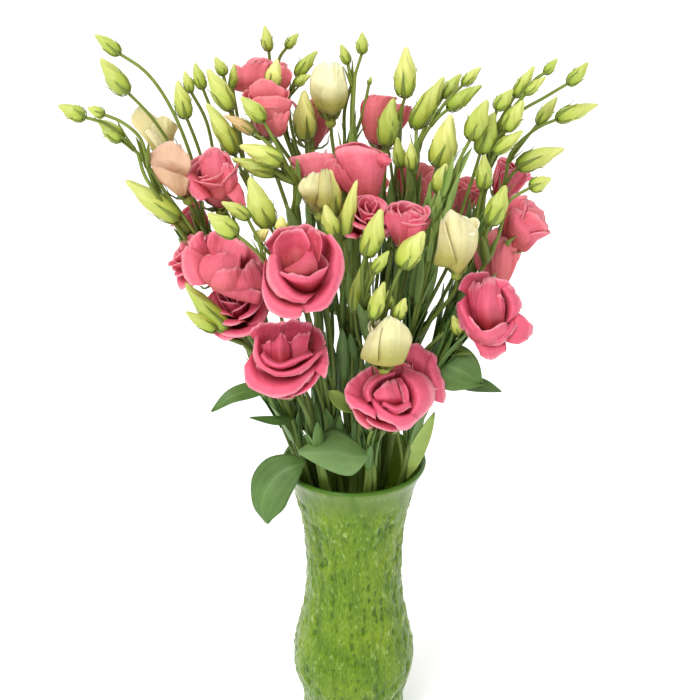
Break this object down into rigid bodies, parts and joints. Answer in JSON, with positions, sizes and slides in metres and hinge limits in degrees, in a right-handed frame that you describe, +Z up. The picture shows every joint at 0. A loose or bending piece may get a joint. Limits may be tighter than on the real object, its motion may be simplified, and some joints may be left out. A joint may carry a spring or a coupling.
{
  "type": "lisianthus bouquet in a vase",
  "caption": "Bouquet of pink lisianthus with rose-like double blooms, slim green buds and leaves, held by a tall waisted green glass vase with a flared mouth.",
  "frame": {"origin": "centre of the vase's foot, on the surface that it stands on", "axes": "+Z up along the vase's axis, -Y towards the front of the bouquet, +X to the right seen from the front"},
  "size_m": [0.3858, 0.28, 0.5934],
  "materials": {
    "glass": "pebbled green pressed glass",
    "stem": "satin green stem and bud",
    "petal_pink": "soft pink petal",
    "petal_cream": "soft cream petal",
    "leaf": "matt grey-green leaf"
  },
  "bodies": {
    "root": {"vase": "glass", "spray_far_left": "stem", "spray_peach": "stem", "spray_left_cup": "stem", "spray_low_left": "stem", "spray_front_left": "stem", "spray_front_middle": "stem", "spray_bud_fan": "stem", "spray_back_left": "stem", "spray_back_middle": "stem", "spray_centre": "stem", "spray_back_right": "stem", "spray_front_buds": "stem", "spray_front_right": "stem", "spray_right_fan": "stem", "spray_right_middle": "stem", "spray_far_right": "stem", "spray_right_low": "stem", "spray_back": "stem", "bloom_top_left": "petal_pink", "bloom_upper_left": "petal_pink", "bloom_upper_hidden": "petal_pink", "bloom_middle": "petal_pink", "bloom_middle_left": "petal_pink", "bloom_upper_right": "petal_pink", "bloom_front_middle": "petal_pink", "bloom_left": "petal_pink", "bloom_left_side": "petal_pink", "bloom_left_lower": "petal_pink", "bloom_left_behind": "petal_pink", "bloom_left_cup": "petal_pink", "bloom_deep_red": "petal_pink", "bloom_middle_right": "petal_pink", "bloom_front_left": "petal_pink", "bloom_right_hidden": "petal_pink", "bloom_right_side": "petal_pink", "bloom_right_behind": "petal_pink", "bloom_right": "petal_pink", "bloom_front_right": "petal_pink", "bloom_right_of_front": "petal_pink", "bloom_narrow_right": "petal_pink", "bloom_far_behind": "petal_pink", "bloom_back_low": "petal_pink", "bloom_back_high": "petal_pink", "bloom_khaki": "petal_cream", "bloom_peach": "petal_cream", "bloom_tall_cream": "petal_cream", "bloom_folded_cream": "petal_cream", "bloom_yellow_right": "petal_cream", "bloom_yellow_front": "petal_cream", "leaf_over_rim": "leaf", "leaf_grey_front": "leaf", "leaf_twisted_left": "leaf", "leaf_short_left": "leaf", "leaf_round_right": "leaf", "leaf_pointed_right": "leaf", "leaf_pale_sheath": "leaf", "leaf_dark_blade": "leaf", "leaf_lime_shoot": "leaf", "leaf_back_leaf": "leaf"}
  },
  "joints": []
}
